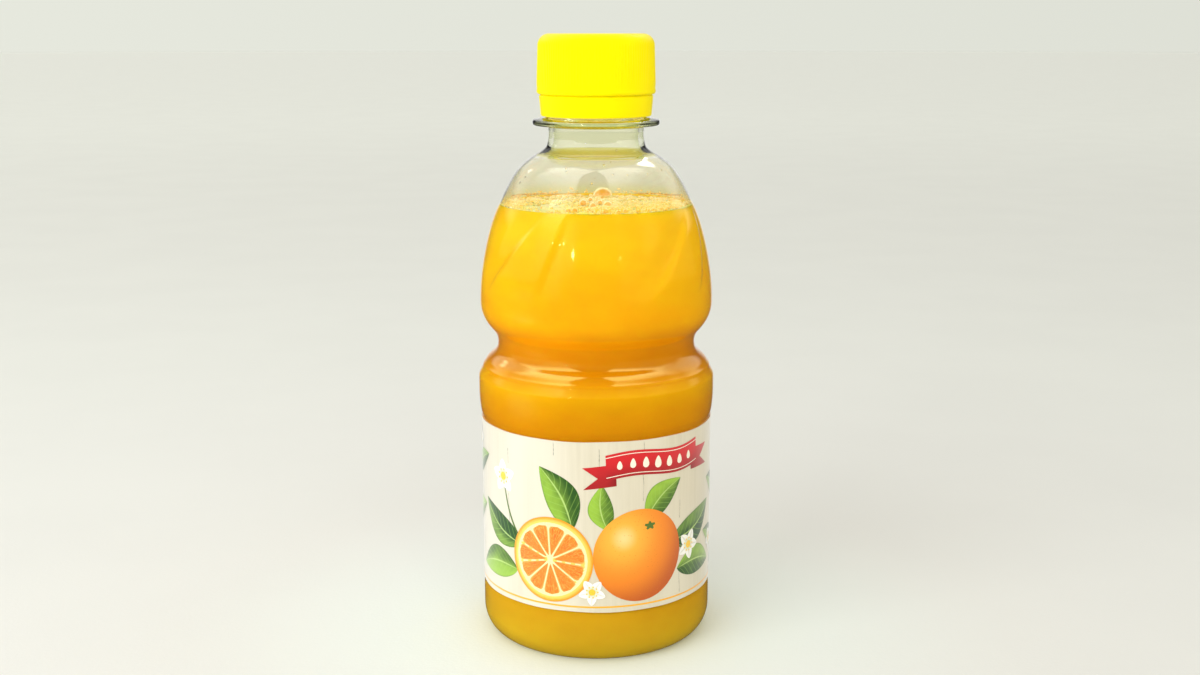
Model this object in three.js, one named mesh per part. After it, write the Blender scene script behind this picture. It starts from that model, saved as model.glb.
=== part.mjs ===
// A filled clear PET juice bottle with its screw cap, tamper band and wrap-around label.
// Millimetres, +Z up. The origin is the middle of the foot ring's underside, on the bottle's axis,
// and the front faces -Y. Angles run from the front towards +X.

import * as THREE from 'three';

// How finely round things are divided
const BOTTLE_SEGMENTS = 40;
const CAP_SEGMENTS = 36;

// Height of the whole, and of the juice
const TOTAL_HEIGHT = 159.4;
const JUICE_LEVEL = 115.9;
const JUICE_GAP = 0.12;

// Wall of the blown bottle, and of its thick moulded neck
const BLOWN_WALL = 0.45;
const NECK_WALL = 1.5;
const WALL_THICKENS_FROM = 128.4;
const WALL_THICKENS_TO = 132.5;

// Base: a flat foot ring, a round heel outside it and a shallow push-up inside it
const FOOT_INNER_RADIUS = 23;
const FOOT_OUTER_RADIUS = 25.5;
const HEEL_HEIGHT = 7;
const HEEL_RADIUS = 30.7;
const PUSH_UP = 3.5;
const BASE_WALL = 0.8;
const HEEL_STEPS = 4;
const BASE_STEPS = 3;

// The side wall passes through these stations: height, radius, lean (radius change per mm of height),
// and the number of steps up to the next station.
const SIDE_STATIONS = [
  { height: 7, radius: 30.7, lean: 0, steps: 1 }, // top of the heel
  { height: 12.5, radius: 30.7, lean: 0, steps: 1 }, // bead under the label
  { height: 14, radius: 30.5, lean: 0, steps: 1 }, // label panel, bottom
  { height: 60, radius: 30.5, lean: 0, steps: 1 }, // label panel, top
  { height: 61.5, radius: 30.92, lean: 0.13, steps: 1 }, // shoulder of the lower band
  { height: 66.8, radius: 31.33, lean: 0, steps: 1 }, // widest
  { height: 70.6, radius: 31.27, lean: -0.1, steps: 1 }, // top of the lower band
  { height: 71.3, radius: 31.06, lean: -0.5, steps: 0 }, // start of its slope
  { height: 72.8, radius: 30.3, lean: -0.5, steps: 1 }, // below the ledge
  { height: 73.2, radius: 30.17, lean: -0.08, steps: 0 }, // ledge, too slight for a row of its own
  { height: 73.7, radius: 29.97, lean: -0.9, steps: 1 }, // above the ledge
  { height: 74.9, radius: 29.13, lean: -0.75, steps: 1 }, // lower flank of the waist
  { height: 76.2, radius: 27.75, lean: -1.25, steps: 1 }, // steepest part of the flank
  { height: 77.4, radius: 26.6, lean: -0.55, steps: 1 }, // foot of the waist
  { height: 79.5, radius: 26.1, lean: 0, steps: 2 }, // waist
  { height: 83.3, radius: 27.65, lean: 0.92, steps: 3 }, // upper flank of the waist
  { height: 90.5, radius: 30.63, lean: 0, steps: 2 }, // belly
  { height: 104, radius: 29.15, lean: -0.21, steps: 2 }, // middle of the swirl
  { height: JUICE_LEVEL, radius: 25.35, lean: -0.49, steps: 2 }, // shoulder, where the juice ends
  { height: 125, radius: 20.3, lean: -0.75, steps: 1 }, // foot of the neck
  { height: 128.4, radius: 16, lean: -1.75, steps: 1 }, // the shoulder's inward sweep
  { height: 131, radius: 12.8, lean: -0.25, steps: 1 }, // root of the neck
  { height: 134, radius: 12.35, lean: 0, steps: 0 }, // neck
];

// Neck finish for a 28 mm cap
const RING_RADIUS = 16.5;
const RING_UNDERSIDE = 136.2;
const RING_THICKNESS = 1.5;
const RING_RISE = 0.6;
const RING_EDGE = 0.3;
const FINISH_RADIUS = 12.45;
const FINISH_TOP = 157.3;
const LIP_EDGE = 0.3;
const BORE_RADIUS = 10.85;

// Swirl: raised leaves that lean over, on the upper body
const LEAF_COUNT = 4;
const LEAF_MIDDLE_HEIGHT = 104.6;
const LEAF_LEFT_ANGLE = -47.8;
const LEAF_LEFT_TWIST = 1.67;
const LEAF_RIGHT_ANGLE = -23.3;
const LEAF_RIGHT_TWIST = 0.66;
const LEAF_EDGE_ANGLE = 2.5;
const LEAF_RISE = 0.6;
const LEAF_FADES_IN = [93, 100];
const LEAF_FADES_OUT = [109, 118];
const VALLEY_DEPTH = 0.25;
const VALLEY_OFFSET = 7;
const VALLEY_SPREAD = 7;

// Cap and its tamper band
const CAP_FOOT = 144.1;
const CAP_FOOT_RADIUS = 15.3;
const CAP_SKIRT_RADIUS = 15.4;
const CAP_SKIRT_HEIGHT = 147;
const CAP_SHOULDER_RADIUS = 15.05;
const CAP_CORNER = 3;
const CAP_CORNER_STEPS = 4;
const CAP_INSIDE_RADIUS = 12.8;
const CAP_CEILING = 157.8;
const BAND_FOOT = 138.5;
const BAND_TOP = 143.8;
const BAND_FOOT_RADIUS = 14;
const BAND_LOW_RADIUS = 14.35;
const BAND_RADIUS = 14.75;
const BAND_BEVEL = 0.5;
const BAND_INSIDE_RADIUS = 13.2;

// Label sleeve
const LABEL_BOTTOM = 14.4;
const LABEL_TOP = 59.6;
const LABEL_GAP = 0.08;
const LABEL_THICKNESS = 0.15;

// Finishes
const FINISHES = {
  clearPlastic: new THREE.MeshStandardMaterial({
    color: 0xe9efe2, roughness: 0.05, metalness: 0, transparent: true, opacity: 0.25,
  }),
  juice: new THREE.MeshStandardMaterial({ color: 0xf9b915, roughness: 0.35, metalness: 0 }),
  yellowCap: new THREE.MeshStandardMaterial({ color: 0xfff200, roughness: 0.4, metalness: 0 }),
  label: new THREE.MeshStandardMaterial({ color: 0xf7f2e1, roughness: 0.45, metalness: 0 }),
};

function smoothStep(from, to, value) {
  return THREE.MathUtils.smoothstep(value, from, to);
}

// Cubic curve between two stations that keeps the radius and the lean of both.
function radiusBetween(low, high, height) {
  const span = high.height - low.height;
  const t = (height - low.height) / span;
  const risen = t * t * (3 - 2 * t);
  const lowLean = t * (1 - t) * (1 - t) * span * low.lean;
  const highLean = t * t * (t - 1) * span * high.lean;
  return THREE.MathUtils.lerp(low.radius, high.radius, risen) + lowLean + highLean;
}

function outerRadius(height) {
  const above = SIDE_STATIONS.findIndex((station) => station.height >= height);
  const index = Math.max(above, 1);
  return radiusBetween(SIDE_STATIONS[index - 1], SIDE_STATIONS[index], height);
}

// The wall is measured square to the surface, so a leaning wall is wider along its radius.
function innerRadius(height) {
  const step = 0.05;
  const low = Math.max(height - step, SIDE_STATIONS[0].height);
  const high = Math.min(height + step, SIDE_STATIONS[SIDE_STATIONS.length - 1].height);
  const lean = (outerRadius(high) - outerRadius(low)) / (high - low);
  const thickening = smoothStep(WALL_THICKENS_FROM, WALL_THICKENS_TO, height);
  const wall = THREE.MathUtils.lerp(BLOWN_WALL, NECK_WALL, thickening);
  return outerRadius(height) - wall * Math.hypot(1, lean);
}

// Heights of the rows of points up the side wall, ending at the given height.
function sideHeights(limit) {
  const heights = [];
  SIDE_STATIONS.forEach((station, index) => {
    const next = SIDE_STATIONS[index + 1];
    for (let step = 0; step < station.steps; step += 1) {
      heights.push(THREE.MathUtils.lerp(station.height, next.height, step / station.steps));
    }
  });
  heights.push(SIDE_STATIONS[SIDE_STATIONS.length - 1].height);
  return heights.filter((height) => height < limit);
}

// Quarter ellipse from the foot ring out to the side wall, moved in by an inset.
function heelPoints(inset, floor) {
  const points = [];
  for (let step = 0; step < HEEL_STEPS; step += 1) {
    const angle = (step / HEEL_STEPS) * (Math.PI / 2);
    const reach = (HEEL_RADIUS - inset - FOOT_OUTER_RADIUS) * Math.sin(angle);
    const drop = (HEEL_HEIGHT - floor) * Math.cos(angle);
    points.push(new THREE.Vector2(FOOT_OUTER_RADIUS + reach, HEEL_HEIGHT - drop));
  }
  return points;
}

// Dome of the push-up, from the axis out to the foot ring, raised by a lift.
function pushUpPoints(lift) {
  const points = [];
  for (let step = 0; step <= BASE_STEPS; step += 1) {
    const share = step / BASE_STEPS;
    points.push(new THREE.Vector2(FOOT_INNER_RADIUS * share, lift + PUSH_UP * (1 - share * share)));
  }
  return points;
}

// How far the swirl moves the wall outwards at a height and an angle in degrees.
function swirl(height, angle) {
  const above = height - LEAF_MIDDLE_HEIGHT;
  const left = LEAF_LEFT_ANGLE + LEAF_LEFT_TWIST * above;
  const right = LEAF_RIGHT_ANGLE + LEAF_RIGHT_TWIST * above;
  const pitch = 360 / LEAF_COUNT;
  const fromMiddle = THREE.MathUtils.euclideanModulo(angle - (left + right) / 2 + pitch / 2, pitch) - pitch / 2;
  const half = (right - left) / 2;
  const rising = smoothStep(-half - LEAF_EDGE_ANGLE, -half + LEAF_EDGE_ANGLE, fromMiddle);
  const falling = smoothStep(half - LEAF_EDGE_ANGLE, half + LEAF_EDGE_ANGLE, fromMiddle);
  const valley = Math.exp(-(((fromMiddle + half + VALLEY_OFFSET) / VALLEY_SPREAD) ** 2));
  const fade = smoothStep(...LEAF_FADES_IN, height) * (1 - smoothStep(...LEAF_FADES_OUT, height));
  return fade * (LEAF_RISE * (rising - falling) - VALLEY_DEPTH * valley);
}

// Turns an outline about the Z axis.
function turned(outline, segments) {
  const geometry = new THREE.LatheGeometry(outline, segments);
  geometry.rotateX(Math.PI / 2);
  return geometry;
}

// Turns an outline and moves its side wall by the swirl.
function turnedWithSwirl(outline) {
  const geometry = turned(outline, BOTTLE_SEGMENTS);
  const position = geometry.getAttribute('position');
  for (let index = 0; index < position.count; index += 1) {
    const x = position.getX(index);
    const y = position.getY(index);
    const height = position.getZ(index);
    const radius = Math.hypot(x, y);
    const onSideWall = radius > FOOT_INNER_RADIUS - 2 * NECK_WALL || height > JUICE_LEVEL + 1;
    if (radius > 0 && onSideWall) {
      const angle = THREE.MathUtils.radToDeg(Math.atan2(x, -y));
      const stretch = (radius + swirl(height, angle)) / radius;
      position.setXY(index, x * stretch, y * stretch);
    }
  }
  return geometry;
}

function named(name, geometry, material) {
  const mesh = new THREE.Mesh(geometry, material);
  mesh.name = name;
  return mesh;
}

// The clear shell: base, heel, side wall, neck ring and finish, with an open mouth.
function bottle() {
  const side = sideHeights(Infinity);
  const ringTop = RING_UNDERSIDE + RING_THICKNESS;
  const outline = [
    ...pushUpPoints(0),
    ...heelPoints(0, 0),
    ...side.map((height) => new THREE.Vector2(outerRadius(height), height)),
    new THREE.Vector2(FINISH_RADIUS + RING_EDGE, RING_UNDERSIDE - RING_EDGE),
    new THREE.Vector2(RING_RADIUS - RING_EDGE, RING_UNDERSIDE),
    new THREE.Vector2(RING_RADIUS, RING_UNDERSIDE + RING_EDGE),
    new THREE.Vector2(RING_RADIUS, ringTop - RING_EDGE),
    new THREE.Vector2(RING_RADIUS - RING_EDGE, ringTop),
    new THREE.Vector2(FINISH_RADIUS, ringTop + RING_RISE),
    new THREE.Vector2(FINISH_RADIUS, FINISH_TOP - LIP_EDGE),
    new THREE.Vector2(FINISH_RADIUS - LIP_EDGE, FINISH_TOP),
    new THREE.Vector2(BORE_RADIUS + LIP_EDGE, FINISH_TOP),
    new THREE.Vector2(BORE_RADIUS, FINISH_TOP - LIP_EDGE),
    ...side.reverse().map((height) => new THREE.Vector2(innerRadius(height), height)),
    ...heelPoints(BLOWN_WALL, BASE_WALL).reverse(),
    ...pushUpPoints(BASE_WALL).reverse(),
  ];
  return named('bottle', turnedWithSwirl(outline), FINISHES.clearPlastic);
}

// Turns every face over, so that an outline drawn downwards still bounds a solid.
function turnedOver(geometry) {
  const index = geometry.getIndex();
  for (let corner = 0; corner < index.count; corner += 3) {
    const second = index.getX(corner + 1);
    index.setX(corner + 1, index.getX(corner + 2));
    index.setX(corner + 2, second);
  }
  return geometry;
}

// The juice fills the shell up to its level. Its outline runs down, as the shell's inner wall does,
// so that both are cut into the same facets and the gap between them stays even.
function juice() {
  const floor = BASE_WALL + JUICE_GAP;
  const side = [...sideHeights(JUICE_LEVEL), JUICE_LEVEL].reverse();
  const outline = [
    new THREE.Vector2(0, JUICE_LEVEL),
    ...side.map((height) => new THREE.Vector2(innerRadius(height) - JUICE_GAP, height)),
    ...heelPoints(BLOWN_WALL + JUICE_GAP, floor).reverse(),
    ...pushUpPoints(floor).reverse(),
  ];
  return named('juice', turnedOver(turnedWithSwirl(outline)), FINISHES.juice);
}

// The cap: a slightly tapered skirt with a rounded top edge, closed above and plain inside.
function cap() {
  const cornerCentre = new THREE.Vector2(CAP_SHOULDER_RADIUS - CAP_CORNER, TOTAL_HEIGHT - CAP_CORNER);
  const outline = [
    new THREE.Vector2(0, CAP_CEILING),
    new THREE.Vector2(CAP_INSIDE_RADIUS, CAP_CEILING),
    new THREE.Vector2(CAP_INSIDE_RADIUS, CAP_FOOT),
    new THREE.Vector2(CAP_FOOT_RADIUS, CAP_FOOT),
    new THREE.Vector2(CAP_SKIRT_RADIUS, CAP_SKIRT_HEIGHT),
  ];
  for (let step = 0; step <= CAP_CORNER_STEPS; step += 1) {
    const angle = (step / CAP_CORNER_STEPS) * (Math.PI / 2);
    const edge = new THREE.Vector2(Math.cos(angle), Math.sin(angle)).multiplyScalar(CAP_CORNER);
    outline.push(edge.add(cornerCentre));
  }
  outline.push(new THREE.Vector2(0, TOTAL_HEIGHT));
  return named('cap', turned(outline, CAP_SEGMENTS), FINISHES.yellowCap);
}

// The tamper band stays under the cap. It widens upwards from a bevelled foot.
function tamperBand() {
  const outline = [
    new THREE.Vector2(BAND_INSIDE_RADIUS, BAND_TOP),
    new THREE.Vector2(BAND_INSIDE_RADIUS, BAND_FOOT),
    new THREE.Vector2(BAND_FOOT_RADIUS, BAND_FOOT),
    new THREE.Vector2(BAND_LOW_RADIUS, BAND_FOOT + BAND_BEVEL),
    new THREE.Vector2(BAND_RADIUS, BAND_TOP),
    new THREE.Vector2(BAND_INSIDE_RADIUS, BAND_TOP),
  ];
  return named('tamper_band', turned(outline, CAP_SEGMENTS), FINISHES.yellowCap);
}

// The label is a thin sleeve round the panel.
function label() {
  const inside = outerRadius(LABEL_BOTTOM) + LABEL_GAP;
  const outside = inside + LABEL_THICKNESS;
  const outline = [
    new THREE.Vector2(inside, LABEL_TOP),
    new THREE.Vector2(inside, LABEL_BOTTOM),
    new THREE.Vector2(outside, LABEL_BOTTOM),
    new THREE.Vector2(outside, LABEL_TOP),
    new THREE.Vector2(inside, LABEL_TOP),
  ];
  return named('label', turned(outline, BOTTLE_SEGMENTS), FINISHES.label);
}

const juiceBottle = new THREE.Group();
juiceBottle.add(bottle(), juice(), cap(), tamperBand(), label());

export default juiceBottle;
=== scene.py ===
# A small clear plastic bottle of orange juice with its yellow screw cap and wrap-around label.
# Metres in Blender, +Z up, the front faces -Y. Outlines are in millimetres, and angles run from the front
# towards +X.

import math

import bmesh
import bpy
import numpy as np
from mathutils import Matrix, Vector, noise


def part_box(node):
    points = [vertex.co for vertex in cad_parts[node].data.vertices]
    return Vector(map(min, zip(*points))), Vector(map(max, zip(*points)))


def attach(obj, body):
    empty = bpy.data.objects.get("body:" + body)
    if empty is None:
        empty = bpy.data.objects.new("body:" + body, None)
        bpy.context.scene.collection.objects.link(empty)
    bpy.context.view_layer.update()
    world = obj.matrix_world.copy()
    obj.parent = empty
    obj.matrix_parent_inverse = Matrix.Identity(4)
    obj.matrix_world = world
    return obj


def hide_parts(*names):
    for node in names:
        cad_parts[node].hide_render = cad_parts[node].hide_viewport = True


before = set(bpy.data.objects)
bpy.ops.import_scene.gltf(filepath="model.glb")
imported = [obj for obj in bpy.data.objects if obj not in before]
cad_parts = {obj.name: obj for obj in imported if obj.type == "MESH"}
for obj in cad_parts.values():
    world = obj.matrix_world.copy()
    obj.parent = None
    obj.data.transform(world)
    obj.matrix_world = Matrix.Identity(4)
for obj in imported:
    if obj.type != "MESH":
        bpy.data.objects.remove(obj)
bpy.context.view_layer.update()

MM = 0.001
TINY = 1e-6


# Sizes that the frame gives, in millimetres
def node_heights(node):
    low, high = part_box(node)
    return low.z / MM, high.z / MM


def node_radius(node):
    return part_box(node)[1].x / MM


JUICE_LEVEL = node_heights("juice")[1]
CAP_FOOT, TOTAL_HEIGHT = node_heights("cap")
BAND_FOOT, BAND_TOP = node_heights("tamper_band")
FINISH_TOP = node_heights("bottle")[1]
LABEL_BOTTOM, LABEL_TOP = node_heights("label")
LABEL_RADIUS = node_radius("label")
CAP_SKIRT_RADIUS = node_radius("cap")
BAND_RADIUS = node_radius("tamper_band")

# Wall of the blown bottle and of its moulded neck
BLOWN_WALL = 0.45
NECK_WALL = 1.5
WALL_THICKENS = (128.4, 132.5)
JUICE_INTO_WALL = 0.15

# Base: foot ring, round heel and push-up with shallow ribs and the gate's nub
FOOT_INNER_RADIUS = 23
FOOT_OUTER_RADIUS = 25.5
HEEL_HEIGHT = 7
HEEL_RADIUS = 30.7
PUSH_UP = 3.5
BASE_WALL = 0.8
BASE_RIBS = 8
BASE_RIB_DEPTH = 0.3
BASE_RIBS_START = (4, 9)
BASE_RIBS_END = (16, 22)
GATE_DEPTH = 0.8
GATE_RADIUS = 1.8

# Side wall: height, radius and lean (radius change for each millimetre of height)
SIDE_STATIONS = np.array([
    (7, 30.7, 0),  # top of the heel
    (12.5, 30.7, 0),  # bead under the label
    (14, 30.5, 0),  # label panel, bottom
    (60, 30.5, 0),  # label panel, top
    (61.5, 30.92, 0.13),  # shoulder of the lower band
    (66.8, 31.315, 0),  # widest
    (70.6, 31.27, -0.07),  # top of the lower band
    (71.3, 31.06, -0.5),  # start of its slope
    (72.8, 30.3, -0.5),  # below the ledge
    (73.2, 30.17, -0.08),  # ledge
    (73.7, 29.97, -0.9),  # above the ledge
    (74.9, 29.13, -0.75),  # lower flank of the waist
    (76.2, 27.75, -1.25),  # steepest part of the flank
    (77.4, 26.6, -0.55),  # foot of the waist
    (79.5, 26.1, 0),  # waist
    (83.3, 27.65, 0.92),  # upper flank of the waist
    (90.5, 30.63, 0),  # belly
    (104, 29.15, -0.21),  # middle of the swirl
    (115.9, 25.35, -0.49),  # shoulder, where the juice ends
    (125, 20.3, -0.75),  # foot of the neck
    (128.4, 16, -1.75),  # the shoulder's inward sweep
    (131, 12.8, -0.25),  # root of the neck
    (134, 12.35, 0),  # neck
])
SIDE_TOP = SIDE_STATIONS[-1, 0]
# Rows of points up the wall: where each stretch starts, and the spacing in it
ROW_SPACING = [(7, 1.2), (14, 6), (60, 0.6), (70, 0.2), (75, 0.5), (134, 0.5)]
HIDDEN_ROW_SPACING = 1.2

# Neck finish for a 28 mm cap
RING_RADIUS = 16.5
RING_UNDERSIDE = 136.2
RING_THICKNESS = 1.5
RING_RISE = 0.6
RING_EDGE = 0.55
RING_FILLET = 0.5
FINISH_RADIUS = 12.45
LIP_EDGE = 0.45
BORE_RADIUS = 10.85

# Swirl: raised leaves that lean over, on the upper body
LEAF_COUNT = 4
# Shares of the wall's radius between which the swirl sets in
SWIRL_SETS_IN = (0.85, 0.96)
LEAF_MIDDLE_HEIGHT = 104.6
# Edges of a leaf: angle at that height, and twist in degrees for each millimetre above it
LEAF_LEFT = (-47.8, 1.67)
LEAF_RIGHT = (-23.3, 0.66)
LEAF_EDGE_ANGLE = 2.5
LEAF_RISE = 0.6
LEAF_FADES_IN = (93, 100)
LEAF_FADES_OUT = (109, 118)
VALLEY_DEPTH = 0.25
VALLEY_OFFSET = 7
VALLEY_SPREAD = 7

# Cap and tamper band
CAP_FOOT_RADIUS = 15.3
CAP_SKIRT_HEIGHT = 147
CAP_SHOULDER_RADIUS = 15.05
CAP_CORNER = 3
CAP_INSIDE_RADIUS = 12.8
CAP_CEILING = 157.8
CAP_RIBS = 120
CAP_RIB_DEPTH = 0.08
BAND_LOW_RADIUS = 14.35
BAND_EDGE = 0.55
BAND_TOP_EDGE = 0.2
BAND_INSIDE_RADIUS = 13.2
BRIDGE_COUNT = 12
BRIDGE_HALF_WIDTH = 0.5

# How finely round things are divided
BOTTLE_SEGMENTS = 240
BAND_SEGMENTS = 240
LABEL_SEGMENTS = 480
CAP_SEGMENTS = 720


# Shapes of the bottle
def smooth_step(start, end, value):
    share = np.clip((np.asarray(value, float) - start) / (end - start), 0, 1)
    return share * share * (3 - 2 * share)


def outer_radius(height):
    """Radius of the side wall: a cubic curve between stations that keeps the radius and lean of both."""
    height = np.asarray(height, float)
    index = np.clip(np.searchsorted(SIDE_STATIONS[:, 0], height), 1, len(SIDE_STATIONS) - 1)
    low_height, low_radius, low_lean = SIDE_STATIONS[index - 1].T
    high_height, high_radius, high_lean = SIDE_STATIONS[index].T
    span = high_height - low_height
    t = (height - low_height) / span
    middle = low_radius + (high_radius - low_radius) * t * t * (3 - 2 * t)
    return middle + t * (1 - t) ** 2 * span * low_lean + t * t * (t - 1) * span * high_lean


def inner_radius(height):
    """The wall is measured square to the surface, so a leaning wall is wider along its radius."""
    step = 0.05
    low = np.maximum(height - step, SIDE_STATIONS[0, 0])
    high = np.minimum(height + step, SIDE_TOP)
    lean = (outer_radius(high) - outer_radius(low)) / (high - low)
    wall = BLOWN_WALL + (NECK_WALL - BLOWN_WALL) * smooth_step(*WALL_THICKENS, height)
    return outer_radius(height) - wall * np.hypot(1, lean)


def swirl(height, turn):
    """How far the swirl moves the wall outwards, at a height and a turn in degrees."""
    above = height - LEAF_MIDDLE_HEIGHT
    left, right = (angle + twist * above for angle, twist in (LEAF_LEFT, LEAF_RIGHT))
    pitch = 360 / LEAF_COUNT
    from_middle = np.mod(turn - (left + right) / 2 + pitch / 2, pitch) - pitch / 2
    half = (right - left) / 2
    rising = smooth_step(-LEAF_EDGE_ANGLE, LEAF_EDGE_ANGLE, from_middle + half)
    falling = smooth_step(-LEAF_EDGE_ANGLE, LEAF_EDGE_ANGLE, from_middle - half)
    valley = np.exp(-(((from_middle + half + VALLEY_OFFSET) / VALLEY_SPREAD) ** 2))
    fade = smooth_step(*LEAF_FADES_IN, height) * (1 - smooth_step(*LEAF_FADES_OUT, height))
    return fade * (LEAF_RISE * (rising - falling) - VALLEY_DEPTH * valley)


def bottle_shape(radius, height, angle):
    """Moves points of a turned outline: the swirl on the wall, and ribs under the base."""
    on_wall = smooth_step(*SWIRL_SETS_IN, radius / outer_radius(np.clip(height, HEEL_HEIGHT, SIDE_TOP)))
    moved = radius + on_wall * swirl(height, angle)
    in_base = (height < PUSH_UP + BASE_WALL + 1) & (radius < FOOT_INNER_RADIUS)
    window = smooth_step(*BASE_RIBS_START, radius) * (1 - smooth_step(*BASE_RIBS_END, radius))
    ribs = BASE_RIB_DEPTH * window * np.cos(np.radians(BASE_RIBS * angle))
    return moved, height + np.where(in_base, ribs, 0)


def wall_heights(low, high, hidden=False):
    """Heights of the rows of points between two heights, closer where the wall is shaped."""
    least = HIDDEN_ROW_SPACING if hidden else 0
    heights = [low]
    while heights[-1] < high - TINY:
        last = heights[-1]
        spacing = [max(space, least) for start, space in ROW_SPACING if start <= last + TINY][-1]
        following = [start for start, space in ROW_SPACING if start > last + TINY]
        heights.append(min([last + spacing, high] + following))
    return np.array(heights)


def rows(radii, heights):
    """Points of an outline. Either may be one number for all of them."""
    return np.column_stack(np.broadcast_arrays(radii, heights))


def heel(inset, floor, steps=14):
    """Quarter ellipse from the foot ring out to the side wall."""
    angles = np.linspace(0, math.pi / 2, steps, endpoint=False)
    radii = FOOT_OUTER_RADIUS + (HEEL_RADIUS - inset - FOOT_OUTER_RADIUS) * np.sin(angles)
    return rows(radii, HEEL_HEIGHT - (HEEL_HEIGHT - floor) * np.cos(angles))


def push_up(lift, gate=0, steps=24):
    """Dome of the base from the axis out to the foot ring."""
    radii = np.linspace(0, FOOT_INNER_RADIUS, steps + 1)
    heights = lift + PUSH_UP * (1 - (radii / FOOT_INNER_RADIUS) ** 2)
    return rows(radii, heights - gate * np.exp(-((radii / GATE_RADIUS) ** 4)))


def arc(radius, height, size, start, end, steps=6):
    """Points on a circle round (radius, height), from one angle to another in degrees."""
    angles = np.radians(np.linspace(start, end, steps + 1))
    return rows(radius + size * np.cos(angles), height + size * np.sin(angles))


def side(radius_at, heights):
    return rows(radius_at(heights), heights)


def outward(angle):
    """Direction away from the axis at an angle in degrees."""
    turn = math.radians(angle)
    return Vector((math.sin(turn), -math.cos(turn), 0))


def in_wall(angle, height, gap):
    """A place on the inside of the wall, in from it by a gap."""
    radius = float(inner_radius(height) + swirl(height, angle)) - gap
    return outward(angle) * radius + Vector((0, 0, height))


# Meshes
def turned(outline, segments, shape=lambda radius, height, angle: (radius, height), closed=False):
    """Points and faces of an outline turned about the axis, moved by a shape function."""
    angles = np.linspace(0, 360, segments, endpoint=False)
    turn = np.radians(angles)
    rings = []
    points = []
    for radius, height in outline:
        if radius < TINY:
            rings.append(np.full(segments, len(points)))
            points.append((0, 0, height))
            continue
        radii, heights = shape(np.full(segments, radius), np.full(segments, height), angles)
        rings.append(len(points) + np.arange(segments))
        points.extend(zip(radii * np.sin(turn), -radii * np.cos(turn), heights))
    if closed:
        rings.append(rings[0])
    faces = []
    for low, high in zip(rings, rings[1:]):
        corners = np.column_stack([low, np.roll(low, -1), np.roll(high, -1), high])
        if low[0] == low[1]:
            corners = corners[:, [0, 2, 3]]
        elif high[0] == high[1]:
            corners = corners[:, [0, 1, 2]]
        faces.extend(corners.tolist())
    return np.array(points), faces


def joined(parts):
    """One set of vertices and faces from several."""
    faces = []
    count = 0
    for part_points, part_faces in parts:
        faces.extend([[corner + count for corner in face] for face in part_faces])
        count += len(part_points)
    return np.concatenate([part_points for part_points, part_faces in parts]), faces


def linked(name, data):
    """A new object in the scene."""
    made = bpy.data.objects.new(name, data)
    bpy.context.scene.collection.objects.link(made)
    return made


def piece(name, shape, materials, replaced=None, sharp=35):
    """A mesh object from points, in millimetres, and faces. It rides on the one body."""
    points, faces = shape
    mesh = bpy.data.meshes.new(name)
    mesh.from_pydata((np.asarray(points) * MM).tolist(), [], faces)
    for material in materials:
        mesh.materials.append(material)
    mesh.polygons.foreach_set("use_smooth", [True] * len(mesh.polygons))
    mesh.set_sharp_from_angle(angle=math.radians(sharp))
    mesh.update()
    made = linked(name, mesh)
    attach(made, "root")
    if replaced:
        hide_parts(replaced)
    return made


# Shader nodes
class Value:
    """An output of a node. It can be added to and multiplied, so that a look reads as a formula."""

    def __init__(self, nodes, socket):
        self.nodes = nodes
        self.socket = socket

    def __add__(self, other):
        return self.nodes.math("ADD", self, other)

    def __sub__(self, other):
        return self.nodes.math("SUBTRACT", self, other)

    def __mul__(self, other):
        return self.nodes.math("MULTIPLY", self, other)


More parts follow.
